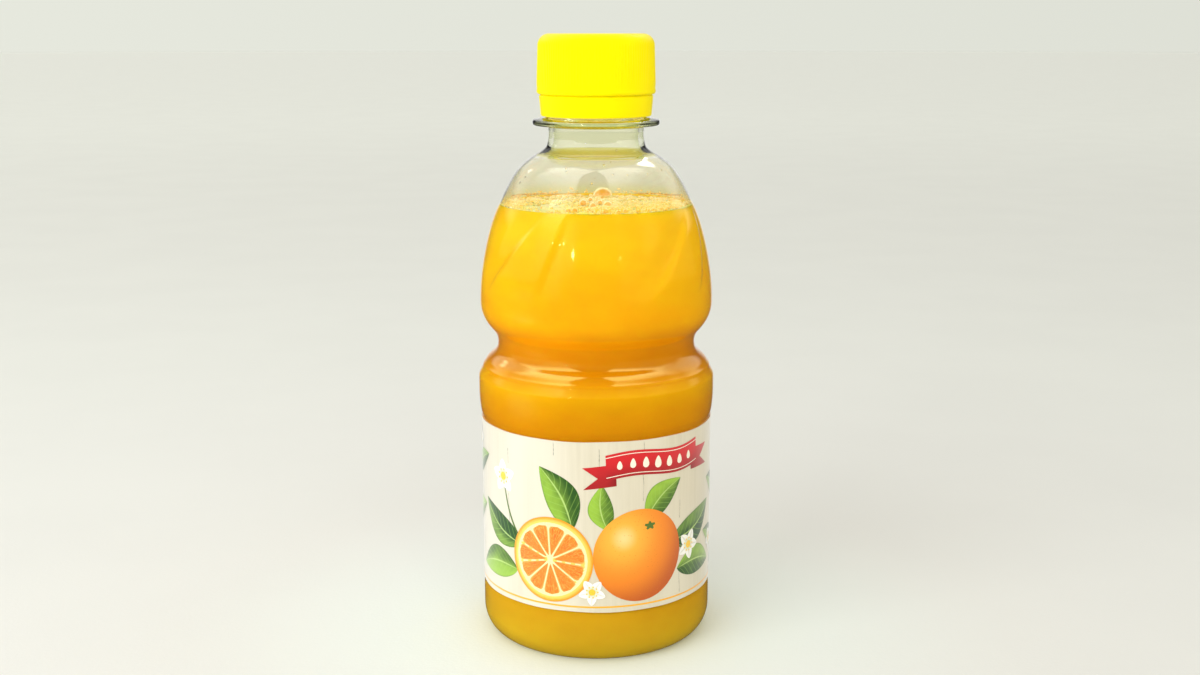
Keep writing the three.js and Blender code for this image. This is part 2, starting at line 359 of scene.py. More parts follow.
class Nodes:
    """Nodes of one tree."""

    def __init__(self, tree):
        self.tree = tree

    def put(self, socket, value):
        """Links a socket, or sets its own value."""
        if isinstance(value, Value):
            self.tree.links.new(value.socket, socket)
        else:
            socket.default_value = (*value, 1) if socket.type == "RGBA" else value

    def node(self, kind, inputs, output=0, **settings):
        """Adds a node with its inputs, by name or number, and gives one of its outputs."""
        node = self.tree.nodes.new("ShaderNode" + kind)
        for name, value in settings.items():
            setattr(node, name, value)
        for name, value in inputs.items():
            self.put(node.inputs[name], value)
        return Value(self, node.outputs[output])

    def math(self, operation, *values):
        return self.node("Math", dict(enumerate(values)), operation=operation)

    def most(self, first, *others):
        """The greatest of some values."""
        for other in others:
            first = self.math("MAXIMUM", first, other)
        return first

    def step(self, value, start, end):
        """Goes smoothly from 0 to 1 while value goes from start to end."""
        inputs = {"Value": value, "From Min": start, "From Max": end}
        return self.node("MapRange", inputs, interpolation_type="SMOOTHSTEP")

    def window(self, value, low, high, soft):
        """1 between two values and 0 beyond them, with soft edges inside them."""
        return self.step(value, low, low + soft) * self.step(value, high, high - soft)

    def blend(self, factor, first, second, how="MIX"):
        """Mixes two colours, which are inputs 6 and 7 and output 2 of the node."""
        return self.node("Mix", {0: factor, 6: first, 7: second}, 2, data_type="RGBA", blend_type=how)

    def fade(self, value, start, end, first, second):
        """One colour turns into another while value goes from start to end."""
        return self.blend(self.step(value, start, end), first, second)

    def tinted(self, colour, tint):
        return self.blend(1.0, colour, tint, "MULTIPLY")

    def marked(self, colour, mask, strength, mark):
        """A colour marked with another where a mask is 1."""
        return self.blend(mask * strength, colour, mark)

    def mottled(self, vector, scale, detail, first, second):
        return self.blend(self.cloud(vector, scale, detail), first, second)

    def place(self, kind="Object"):
        return self.node("TexCoord", {}, kind)

    def parts(self, vector):
        node = self.node("SeparateXYZ", {0: vector}).socket.node
        return [Value(self, output) for output in node.outputs]

    def height(self, place):
        """Height in millimetres."""
        return self.parts(place)[2] * (1 / MM)

    def stretched(self, vector, factors):
        return self.node("VectorMath", {0: vector, 1: factors}, operation="MULTIPLY")

    def distance(self, vector, centre):
        return self.node("VectorMath", {0: vector, 1: centre}, "Value", operation="DISTANCE")

    def off_middle(self, across):
        """How far a way across, from 0 to 1, is from its middle."""
        return self.math("ABSOLUTE", across - 0.5)

    def slant(self):
        """0 where the surface faces the eye, and 1 where it is seen along itself."""
        return self.node("LayerWeight", {"Blend": 0.5}, "Facing")

    def ray(self, kind):
        return self.node("LightPath", {}, f"Is {kind} Ray")

    def cloud(self, vector, scale, detail=2.0, roughness=0.5):
        inputs = {"Vector": vector, "Scale": scale, "Detail": detail, "Roughness": roughness}
        return self.node("TexNoise", inputs)

    def cells(self, vector, scale, feature="F1"):
        return self.node("TexVoronoi", {"Vector": vector, "Scale": scale}, "Distance", feature=feature)

    def bump(self, height, strength, distance):
        return self.node("Bump", {"Height": height, "Strength": strength, "Distance": distance})


class Look(Nodes):
    """A material with its nodes."""

    def __init__(self, name):
        self.material = bpy.data.materials.new(name)
        self.material.use_nodes = True
        super().__init__(self.material.node_tree)
        self.tree.nodes.clear()

    def shader(self, **values):
        """Finishes the material. Names of inputs use underscores for spaces."""
        inputs = {name.replace("_", " "): value for name, value in values.items()}
        output = self.tree.nodes.new("ShaderNodeOutputMaterial")
        self.put(output.inputs["Surface"], self.node("BsdfPrincipled", inputs))
        return self.material


# Materials
WHITE = (1.0, 1.0, 1.0)
# Heights between which the blown wall turns into the thick neck
NECK_ROOT = (128.3, 130.8)
# Where the thick bend below the neck bends light less than it would, so that it isn't black at its sides
BEND = (128.0, 135.0)
PLASTIC_INDEX = 1.5
INDEX_DROP_IN_BEND = -0.3
INDEX_RISE_OVER_JUICE = 0.6
# How far above the juice the film of it on the wall reaches
FILM_HEIGHT = 4.5


def clear_plastic():
    """Clear plastic, greener at a slant and where it is thick, with a film of juice just above its level.
    Over the juice its gloss is yellow and stronger."""
    look = Look("clear_plastic")
    place = look.place()
    height = look.height(place)
    slant = look.slant()
    thin = look.fade(slant, 0.5, 1.0, (0.97, 0.95, 0.82), (0.85, 0.87, 0.64))
    thick = look.fade(slant, 0.3, 1.0, (0.94, 0.94, 0.78), (0.62, 0.68, 0.38))
    tint = look.fade(height, *NECK_ROOT, thin, thick)
    tint = look.blend(look.window(height, *NECK_ROOT, 0.6), tint, look.tinted(tint, (0.86, 0.81, 0.42)))
    film = look.step(height, JUICE_LEVEL + FILM_HEIGHT, JUICE_LEVEL)
    tint = look.marked(tint, film, 0.9, look.tinted(tint, (1.0, 0.94, 0.50)))
    ring = look.window(height, RING_UNDERSIDE - 0.6, RING_UNDERSIDE + 2.4, 0.6)
    filled = look.step(height, JUICE_LEVEL + 0.3, JUICE_LEVEL - 0.3)
    index = look.window(height, *BEND, 1) * INDEX_DROP_IN_BEND + PLASTIC_INDEX
    return look.shader(
        Base_Color=look.blend(ring, tint, (0.78, 0.83, 0.46)),
        Roughness=filled * 0.06 + 0.03,
        IOR=filled * INDEX_RISE_OVER_JUICE + index,
        Specular_Tint=look.blend(filled, WHITE, (1.0, 1.0, 0.30)),
        Transmission_Weight=1.0,
        Normal=look.bump(look.cloud(place, 140, 1), 0.25, 0.0002),
    )


# Colours of the juice up the bottle: height in millimetres, and linear colour. The darker colours in the
# waist and on the flank below it are painted shade under the belly, and the lighter colours up the body are
# partly the juice's own and partly painted light from above.
JUICE_COLOURS_AND_SHADE = [
    (0, (0.62, 0.44, 0.024)),
    (14, (0.69, 0.40, 0.014)),
    (60, (0.68, 0.283, 0.002)),
    (66, (0.76, 0.362, 0.003)),
    (71, (0.83, 0.465, 0.003)),
    (74, (0.77, 0.35, 0.001)),
    (76, (0.64, 0.26, 0.001)),
    (79.5, (0.71, 0.287, 0.002)),
    (84, (0.86, 0.37, 0.003)),
    (88, (0.97, 0.50, 0.006)),
    (92, (0.985, 0.50, 0.006)),
    (104, (0.985, 0.575, 0.006)),
    (117, (0.985, 0.625, 0.008)),
]
JUICE_DEPTH = {"Subsurface_Weight": 1.0, "Subsurface_Radius": (1.0, 0.9, 0.6), "Subsurface_Scale": 0.0013}


def juice_colour_and_shade(look, place):
    """Colour by height, which holds painted shade and light, with soft clouds and fine flecks of pulp."""
    top = JUICE_COLOURS_AND_SHADE[-1][0]
    # The colours by height hold painted shade in the waist and painted light up the body
    ramp = look.node("ValToRGB", {0: look.height(place) * (1 / top)})
    stops = ramp.socket.node.color_ramp.elements
    for level, colour in JUICE_COLOURS_AND_SHADE[1:-1]:
        stops.new(level / top)
    for stop, (level, colour) in zip(stops, JUICE_COLOURS_AND_SHADE):
        stop.color = (*colour, 1)
    drift = look.cloud(look.stretched(place, (1, 1, 2.2)), 55, 3)
    clouded = look.tinted(ramp, look.fade(drift, 0.3, 0.7, (0.93, 0.90, 0.84), WHITE))
    pulp = look.cells(look.stretched(place, (1, 1, 0.45)), 900)
    return look.blend(0.5, clouded, look.fade(pulp, 0.1, 0.34, (1.0, 0.93, 0.80), WHITE), "MULTIPLY")


def juice_side():
    """Juice against the wall: no gloss of its own, because nothing but plastic lies on it."""
    look = Look("juice_side")
    colour = juice_colour_and_shade(look, look.place())
    return look.shader(Base_Color=colour, Roughness=0.7, Specular_IOR_Level=0.0, **JUICE_DEPTH)


def juice_top():
    look = Look("juice_top")
    place = look.place()
    ripple = look.bump(look.cloud(place, 500, 2), 0.3, 0.0002)
    return look.shader(
        Base_Color=juice_colour_and_shade(look, place), Roughness=0.12, IOR=1.35, Normal=ripple, **JUICE_DEPTH,
    )


def froth():
    """The bed of the froth: cells too small to be modelled, pale with yellow hollows, and a smooth raft."""
    look = Look("froth")
    place = look.place()
    cells = look.cells(place, 1700)
    tone = look.fade(cells, 0.15, 0.5, (0.97, 0.60, 0.07), (0.98, 0.85, 0.27))
    wide, deep = PALE_RAFT_RADII
    raft_scaled = look.stretched(place, (1 / (wide * MM), 1 / (deep * MM), 0))
    from_raft = look.distance(raft_scaled, (PALE_RAFT[0] / wide, PALE_RAFT[1] / deep, 0))
    pale = look.most(look.step(from_raft, 1.1, 0.7), look.step(look.cloud(place, 180, 2), 0.48, 0.7))
    return look.shader(
        Base_Color=look.blend(pale, tone, (1.0, 0.98, 0.60)), Roughness=0.3, IOR=1.33,
        Subsurface_Weight=1.0, Subsurface_Radius=(1.0, 0.8, 0.4), Subsurface_Scale=0.001,
        Normal=look.bump(cells * look.step(from_raft, 0.7, 1.1), 0.6, 0.0002),
    )


def bubble(name, middle, rim, start, end):
    """A thin wet film over juice, which shows through its middle. Its rim, seen at a slant, is pale."""
    look = Look(name)
    pale = look.fade(look.cloud(look.place(), 900, 2), 0.3, 0.7, rim, (1.0, 0.97, 0.66))
    return look.shader(Base_Color=look.fade(look.slant(), start, end, middle, pale), Roughness=0.08, IOR=1.6)


def tide_tone():
    """The thin line of juice that is left where its surface meets the wall."""
    look = Look("tide_tone")
    colour = look.mottled(look.place(), 300, 2, (0.50, 0.27, 0.03), (0.78, 0.50, 0.12))
    return look.shader(Base_Color=colour, Roughness=0.3, IOR=1.35)


def droplet():
    look = Look("droplet")
    colour = look.mottled(look.place(), 600, 1, (0.99, 0.90, 0.62), (1.0, 0.98, 0.88))
    return look.shader(Base_Color=colour, Roughness=0.04, IOR=1.34, Transmission_Weight=1.0)


def yellow_cap():
    look = Look("yellow_cap")
    place = look.place()
    grain = look.cloud(place, 2200, 3)
    return look.shader(
        Base_Color=look.mottled(place, 60, 3, (0.98, 0.79, 0.0002), (0.98, 0.83, 0.0004)),
        Roughness=grain * 0.12 + 0.3, IOR=1.5,
        Specular_IOR_Level=0.2, Specular_Tint=(1.0, 1.0, 0.25),
        Subsurface_Weight=0.4, Subsurface_Radius=(1.0, 0.8, 0.1), Subsurface_Scale=0.0012,
        Normal=look.bump(grain, 0.12, 0.00005),
    )


def ink(name, tone):
    """Printed film: every ink has the label's own soft gloss."""
    look = Look(name)
    colour = tone(look, look.place("UV"))
    return look.shader(Base_Color=colour, Roughness=0.42, IOR=1.45, Sheen_Weight=1.0, Sheen_Roughness=0.4)


def label_ground(look, place):
    """Cream film that is printed as white-painted boards with a faint upright grain."""
    grain = look.cloud(look.stretched(place, (90, 2.5, 1)), 1, 4, 0.6)
    brushed = look.fade(grain, 0.3, 0.75, (0.655, 0.60, 0.45), (0.71, 0.655, 0.505))
    shade = look.cloud(look.stretched(place, (7, 1.2, 1)), 1, 1)
    return look.fade(shade, 0.35, 0.7, brushed, (0.725, 0.675, 0.53))


def leaf_tone(look, place):
    """A leaf from stalk to tip along x, after the leaf's number, and from side to side along y."""
    numbered, across, unused = look.parts(place)
    along = look.math("FRACT", numbered)
    own = look.node("TexWhiteNoise", {"W": look.math("FLOOR", numbered)}, noise_dimensions="1D")
    from_rib = look.off_middle(across)
    lit = look.step(across + along * 0.25, 0.2, 1.0)
    patches = look.cloud(look.stretched(place, (5, 3, 1)), 1, 4)
    lightness = lit * 0.55 + patches * 0.5 + own * 0.5 - 0.35
    green = look.fade(lightness, 0.05, 1.0, (0.010, 0.075, 0.006), (0.33, 0.56, 0.045))
    wave = look.math("PINGPONG", (along - from_rib * 0.42) * 9, 0.5)
    veined = look.marked(green, look.step(wave, 0.11, 0.03), 0.35, (0.34, 0.58, 0.10))
    ribbed = look.marked(veined, look.step(from_rib, 0.035, 0.012), 0.8, (0.50, 0.70, 0.20))
    return look.marked(ribbed, look.step(from_rib, 0.44, 0.5), 0.45, (0.02, 0.10, 0.01))


def skin_tone(look, place):
    """Whole orange: lit from the upper left, with pores. UV is the place on the disc, from -1 to 1."""
    from_light = look.distance(place, (-0.35, 0.4, 0))
    body = look.fade(from_light, 0.0, 1.0, (1.0, 0.52, 0.05), (0.90, 0.25, 0.006))
    edge = look.fade(from_light, 0.85, 1.5, body, (0.55, 0.10, 0.003))
    lit = look.marked(edge, look.step(from_light, 0.34, 0.0), 0.5, (1.0, 0.83, 0.45))
    return look.fade(look.cells(place, 17), 0.22, 0.02, lit, (0.72, 0.20, 0.004))


def rind_tone(look, place):
    """Cut edge of the peel: deep outside, paler towards the pith. UV x runs outwards."""
    outwards = look.parts(place)[0] + look.cloud(place, 60, 3) * 0.06 - 0.03
    return look.fade(outwards, 0.90, 0.99, (0.97, 0.62, 0.10), (0.90, 0.33, 0.008))


def flesh_tone(look, place):
    """Juice sacs of one segment, drawn out from the middle to the pith along x, after its number."""
    numbered, across, unused = look.parts(place)
    fan = look.math("DIVIDE", across - 0.5, look.math("FRACT", numbered) + 0.35)
    sacs_place = look.node("CombineXYZ", {0: numbered * 3.2, 1: fan * 7.5})
    sacs = look.cells(sacs_place, 1.6, "DISTANCE_TO_EDGE")
    streaks = look.cloud(look.stretched(sacs_place, (0.6, 3, 1)), 1.5, 4)
    deep = look.fade(streaks, 0.3, 0.72, (0.80, 0.10, 0.004), (0.97, 0.30, 0.012))
    celled = look.marked(deep, look.step(sacs, 0.10, 0.0), 0.55, (1.0, 0.52, 0.10))
    return look.marked(celled, look.step(look.off_middle(across), 0.38, 0.5), 0.55, (1.0, 0.60, 0.16))


def petal_tone(look, place):
    """White petals, greener at their foot and shaded along the middle."""
    numbered, across, unused = look.parts(place)
    body = look.fade(look.math("FRACT", numbered), 0.0, 0.45, (0.62, 0.70, 0.34), (0.93, 0.92, 0.86))
    return look.fade(look.off_middle(across), 0.0, 0.16, (0.72, 0.72, 0.62), body)


def pollen_tone(look, place):
    return look.blend(look.cells(place, 9), (0.90, 0.42, 0.01), (0.99, 0.75, 0.06))


def red_tone(look, place):
    """Plain red ribbon, deeper at its lower edge and where it folds. UV x runs along it."""
    along, across, unused = look.parts(place)
    body = look.fade(across, 0.0, 0.75, (0.36, 0.002, 0.006), (0.66, 0.006, 0.012))
    weave = look.cloud(look.stretched(place, (6, 40, 1)), 1, 3)
    woven = look.marked(body, weave, 0.3, (0.74, 0.02, 0.02))
    return look.fade(look.math("PINGPONG", along * 2, 1.0), 0.0, 0.35, (0.30, 0.001, 0.004), woven)


DRAWN_INKS = {
    "leaf": leaf_tone, "skin": skin_tone, "rind": rind_tone, "flesh": flesh_tone, "petal": petal_tone,
    "pollen": pollen_tone, "red": red_tone,
}
# Inks of two tones with a cloud between them: its scale and detail, and the tones
CLOUDED_INKS = {
    "stalk": (6, 2, (0.04, 0.10, 0.01), (0.16, 0.27, 0.03)),
    "pith": (25, 4, (0.98, 0.70, 0.22), (0.99, 0.88, 0.55)),
    "cream": (12, 2, (0.86, 0.80, 0.62), (0.94, 0.90, 0.76)),
    "crack": (40, 2, (0.10, 0.10, 0.07), (0.42, 0.39, 0.29)),
    "line": (30, 2, (0.92, 0.40, 0.01), (0.97, 0.52, 0.03)),
}


# Pieces
def bottle():
    """The clear shell: base, heel, side wall, neck ring and finish, with an open mouth."""
    ring_top = RING_UNDERSIDE + RING_THICKNESS
    root = FINISH_RADIUS + RING_FILLET
    rim = RING_RADIUS - RING_EDGE
    inner_seen = wall_heights(JUICE_LEVEL - 1, SIDE_TOP)[::-1]
    inner_hidden = wall_heights(HEEL_HEIGHT, JUICE_LEVEL - 1, hidden=True)[::-1]
    outline = np.concatenate([
        push_up(0, GATE_DEPTH),
        heel(0, 0),
        side(outer_radius, wall_heights(HEEL_HEIGHT, SIDE_TOP)),
        arc(root, RING_UNDERSIDE - RING_FILLET, RING_FILLET, 180, 90),
        arc(rim, RING_UNDERSIDE + RING_EDGE, RING_EDGE, -90, 0),
        arc(rim, ring_top - RING_EDGE, RING_EDGE, 0, 80),
        [(FINISH_RADIUS + 0.2, ring_top + RING_RISE - 0.05), (FINISH_RADIUS, ring_top + RING_RISE + 0.15)],
        arc(FINISH_RADIUS - LIP_EDGE, FINISH_TOP - LIP_EDGE, LIP_EDGE, 0, 90),
        arc(BORE_RADIUS + LIP_EDGE, FINISH_TOP - LIP_EDGE, LIP_EDGE, 90, 180),
        side(inner_radius, inner_seen),
        side(inner_radius, inner_hidden[1:]),
        heel(BLOWN_WALL, BASE_WALL)[::-1],
        push_up(BASE_WALL)[::-1],
    ])
    shape = turned(outline, BOTTLE_SEGMENTS, bottle_shape)
    made = piece("clear_bottle", shape, [clear_plastic()], "bottle", sharp=50)
    made.visible_shadow = False
    made.visible_diffuse = False


MENISCUS_HEIGHT = 0.8
MENISCUS_WIDTH = 2.4
MENISCUS_STEPS = 8
JUICE_SURFACE = JUICE_LEVEL - MENISCUS_HEIGHT
WALL_AT_LEVEL = float(inner_radius(JUICE_LEVEL))


def juice():
    """The drink up to its level. It reaches into the wall, so that no air gap shows."""
    heights = wall_heights(HEEL_HEIGHT, JUICE_LEVEL)
    inward = np.linspace(0, 1, MENISCUS_STEPS + 1)[1:]
    fall = MENISCUS_HEIGHT * (1 - np.exp(-3 * inward))
    outline = np.concatenate([
        push_up(BASE_WALL - JUICE_INTO_WALL),
        heel(BLOWN_WALL - JUICE_INTO_WALL, BASE_WALL - JUICE_INTO_WALL),
        rows(inner_radius(heights) + JUICE_INTO_WALL, heights),
        rows(WALL_AT_LEVEL - MENISCUS_WIDTH * inward, JUICE_LEVEL - fall),
        rows(np.linspace(WALL_AT_LEVEL - 4, 0, 14), JUICE_LEVEL - fall[-1]),
    ])
    shape = turned(outline, BOTTLE_SEGMENTS, bottle_shape)
    made = piece("orange_juice", shape, [juice_side(), juice_top()], "juice", sharp=50)
    for polygon in made.data.polygons:
        on_top = polygon.center.z > (JUICE_SURFACE - 0.1) * MM and polygon.normal.z > 0.45
        polygon.material_index = 1 if on_top else 0


def cap(material):
    corner_radius = CAP_SHOULDER_RADIUS - CAP_CORNER
    corner_height = TOTAL_HEIGHT - CAP_CORNER
    bead = [
        (BAND_RADIUS - 0.1, CAP_FOOT),
        (CAP_FOOT_RADIUS - 0.25, CAP_FOOT + 0.12),
        (CAP_FOOT_RADIUS, CAP_FOOT + 0.4),
        (CAP_FOOT_RADIUS + 0.1, CAP_FOOT + 0.8),
        (CAP_FOOT_RADIUS + 0.04, CAP_FOOT + 1.15),
        (CAP_SKIRT_RADIUS - 0.12, CAP_FOOT + 1.6),
    ]
    skirt = np.linspace((CAP_SKIRT_RADIUS - 0.05, CAP_SKIRT_HEIGHT), (CAP_SHOULDER_RADIUS, corner_height), 14)
    outline = np.concatenate([
        [(0, CAP_CEILING), (CAP_INSIDE_RADIUS, CAP_CEILING), (CAP_INSIDE_RADIUS, CAP_FOOT)],
        bead,
        skirt[:-1],
        arc(corner_radius, corner_height, CAP_CORNER, 0, 86, 12),
        rows(np.linspace(corner_radius, 0, 8)[1:], TOTAL_HEIGHT - 0.02),
    ])
    shape = turned(outline, CAP_SEGMENTS, cap_shape)
    piece("screw_cap", shape, [material], "cap", sharp=40)


def cap_shape(radius, height, angle):
    """Fine upright ribs on the skirt."""
    window = smooth_step(CAP_SKIRT_HEIGHT - 1, CAP_SKIRT_HEIGHT + 0.5, height)
    window = window * (1 - smooth_step(TOTAL_HEIGHT - CAP_CORNER, TOTAL_HEIGHT - 1.2, height))
    outside = radius > CAP_INSIDE_RADIUS + 1
    groove = 0.5 - 0.5 * np.cos(np.radians(CAP_RIBS * angle))
    return radius - np.where(outside, CAP_RIB_DEPTH * window * groove**2, 0), height


def bridge(angle):
    """A thin tie between the tamper band and the cap."""
    near, far = BAND_INSIDE_RADIUS + 0.3, BAND_RADIUS - 0.15
    corners = []
    for height in (BAND_TOP - 0.2, CAP_FOOT + 0.2):
        for radius, along in ((near, -1), (far, -1), (far, 1), (near, 1)):
            aside = outward(angle + 90) * along * BRIDGE_HALF_WIDTH
            corners.append(outward(angle) * radius + aside + Vector((0, 0, height)))
    faces = [[3, 2, 1, 0], [4, 5, 6, 7]]
    faces += [[k, (k + 1) % 4, (k + 1) % 4 + 4, k + 4] for k in range(4)]
    return np.array(corners), faces


def tamper_band(material):
    """A narrow cone with a rounded foot. A lip inside its top edge meets the cap, so that no slit shows."""
    outline = np.concatenate([
        [(BAND_INSIDE_RADIUS, CAP_FOOT - 0.01), (BAND_INSIDE_RADIUS, BAND_FOOT)],
        arc(BAND_LOW_RADIUS - BAND_EDGE, BAND_FOOT + BAND_EDGE, BAND_EDGE, -90, 0),
        arc(BAND_RADIUS - BAND_TOP_EDGE, BAND_TOP - BAND_TOP_EDGE, BAND_TOP_EDGE, 0, 90),
        [(BAND_RADIUS - 0.35, CAP_FOOT - 0.01)],
    ])
    bridges = [bridge(360 * (number + 0.5) / BRIDGE_COUNT) for number in range(BRIDGE_COUNT)]
    shape = joined([turned(outline, BAND_SEGMENTS, closed=True), *bridges])
    piece("tamper_ring", shape, [material], "tamper_band", sharp=30)


# Label
LABEL_INSIDE_RADIUS = LABEL_RADIUS - 0.15
SEAM_HALF_WIDTH = 2.2
SEAM_RISE = 0.015
LABEL_CUT = 0.1
UV_MM = 100


def on_label(across, up, lift=0.0):
    """A place on the label: arc length from the front and height above the label's foot, in millimetres."""
    turn = across / LABEL_RADIUS
    radius = LABEL_RADIUS + lift
    return radius * math.sin(turn), -radius * math.cos(turn), LABEL_BOTTOM + up


def label_shape(radius, height, angle):
    """A seam at the back, where the film overlaps, and top and bottom edges cut a little unevenly."""
    from_seam = np.abs(angle - 180) * math.pi / 180 * LABEL_RADIUS
    seam = np.where(radius > LABEL_INSIDE_RADIUS + 0.05, SEAM_RISE, 0)
    lifted = seam * (1 - smooth_step(SEAM_HALF_WIDTH, SEAM_HALF_WIDTH + 0.4, from_seam))
    waver = 0.05 * np.sin(np.radians(angle * 5)) + 0.04 * np.sin(np.radians(angle * 11 + 40))
    cut = LABEL_CUT - waver
    at_edge = np.where(height > (LABEL_TOP + LABEL_BOTTOM) / 2, -cut, cut)
    return radius + lifted, height + at_edge


def label():
    outline = np.concatenate([
        rows(LABEL_INSIDE_RADIUS, [LABEL_TOP, LABEL_BOTTOM]),
        rows(LABEL_RADIUS, np.linspace(LABEL_BOTTOM, LABEL_TOP, 12)),
    ])
    shape = turned(outline, LABEL_SEGMENTS, label_shape, closed=True)
    ground = ink("label_film", label_ground)
    mesh = piece("label_sleeve", shape, [ground], "label", sharp=30).data
    layer = mesh.uv_layers.new(name="UVMap")
    for polygon in mesh.polygons:
        centre = math.atan2(polygon.center.x, -polygon.center.y)
        for loop in polygon.loop_indices:
            point = mesh.vertices[mesh.loops[loop].vertex_index].co
            turn = math.atan2(point.x, -point.y)
            turn += 2 * math.pi * round((centre - turn) / (2 * math.pi))
            layer.data[loop].uv = (turn * LABEL_RADIUS / UV_MM, point.z / MM / UV_MM)


LAYER_RISE = 0.018
SEGMENT_COUNT = 11
RIBBON_TAIL = 8.5
RIBBON_TAIL_OVERLAP = 2.5


class Print:
    """Fields of ink on the label, gathered into one piece."""

    def __init__(self):
        self.inks = {name: ink(name + "_ink", tone) for name, tone in DRAWN_INKS.items()}
        for name, row in CLOUDED_INKS.items():
            self.inks[name] = ink(name + "_ink", lambda look, place: look.mottled(place, *row))
        self.used = []
        self.points = []
        self.faces = []
        self.corners = []
        self.face_inks = []

    def field(self, name, place, steps, layer, texture=lambda s, t: (s, t)):
        """A grid of place(s, t) for s and t from 0 to 1, in a named ink, at a layer above the film."""
        if name not in self.used:
            self.used.append(name)
        start = len(self.points)
        across_steps, up_steps = steps
        places = []
        for i in range(across_steps + 1):
            for j in range(up_steps + 1):
                s, t = i / across_steps, j / up_steps
                self.points.append(on_label(*place(s, t), lift=LAYER_RISE * layer))
                places.append(texture(s, t))
        for i in range(across_steps):
            for j in range(up_steps):
                first = i * (up_steps + 1) + j
                square = [first, first + up_steps + 1, first + up_steps + 2, first + 1]
                self.faces.append([start + corner for corner in square])
                self.corners.extend(places[corner] for corner in square)
                self.face_inks.append(self.used.index(name))

    def finish(self, name):
        materials = [self.inks[used] for used in self.used]
        mesh = piece(name, (self.points, self.faces), materials, sharp=60).data
        layer = mesh.uv_layers.new(name="UVMap")
        layer.data.foreach_set("uv", np.array(self.corners, float).ravel())
        mesh.polygons.foreach_set("material_index", self.face_inks)
        work = bmesh.new()
        work.from_mesh(mesh)
        bmesh.ops.remove_doubles(work, verts=work.verts, dist=1e-8)
        bmesh.ops.dissolve_degenerate(work, edges=work.edges, dist=1e-8)
        inward = [face for face in work.faces if face.normal.xy.dot(face.calc_center_median().xy) < 0]
        bmesh.ops.reverse_faces(work, faces=inward)
        work.to_mesh(mesh)
        work.free()


def strip(foot, tip):
    """The way along a strip, and the unit way across it."""
    along = np.array(tip, float) - foot
    return along, np.array([-along[1], along[0]]) / np.hypot(*along)


def bowed(foot, tip, bend, half_width, bows=1):
    """Places in a strip whose middle is pushed sideways by bend, as wide as half_width says along it."""
    along, across = strip(foot, tip)

    def place(s, t):
        aside = bend * math.sin(math.pi * bows * s) + half_width(s) * (2 * t - 1)
        return np.array(foot) + along * s + across * aside

    return place


def lens(s, lean, fullness):
    """Width of a leaf or petal along it, with pointed ends."""
    return math.sin(math.pi * s**lean) ** fullness if 0 < s < 1 else 0


def from_centre(centre, turn, out, aside=0):
    """A place out from a centre along a direction, and aside from it."""
    return (
        centre[0] + out * math.cos(turn) - aside * math.sin(turn),
        centre[1] + out * math.sin(turn) + aside * math.cos(turn),
    )


def turns(count, first=0.0):
    """Directions all round, in radians."""
    return [first + 2 * math.pi * number / count for number in range(count)]


def numbered(number):
    """UV of a field: x is the field's number plus the way along it."""
    return lambda s, t: (number + 0.999 * s, t)


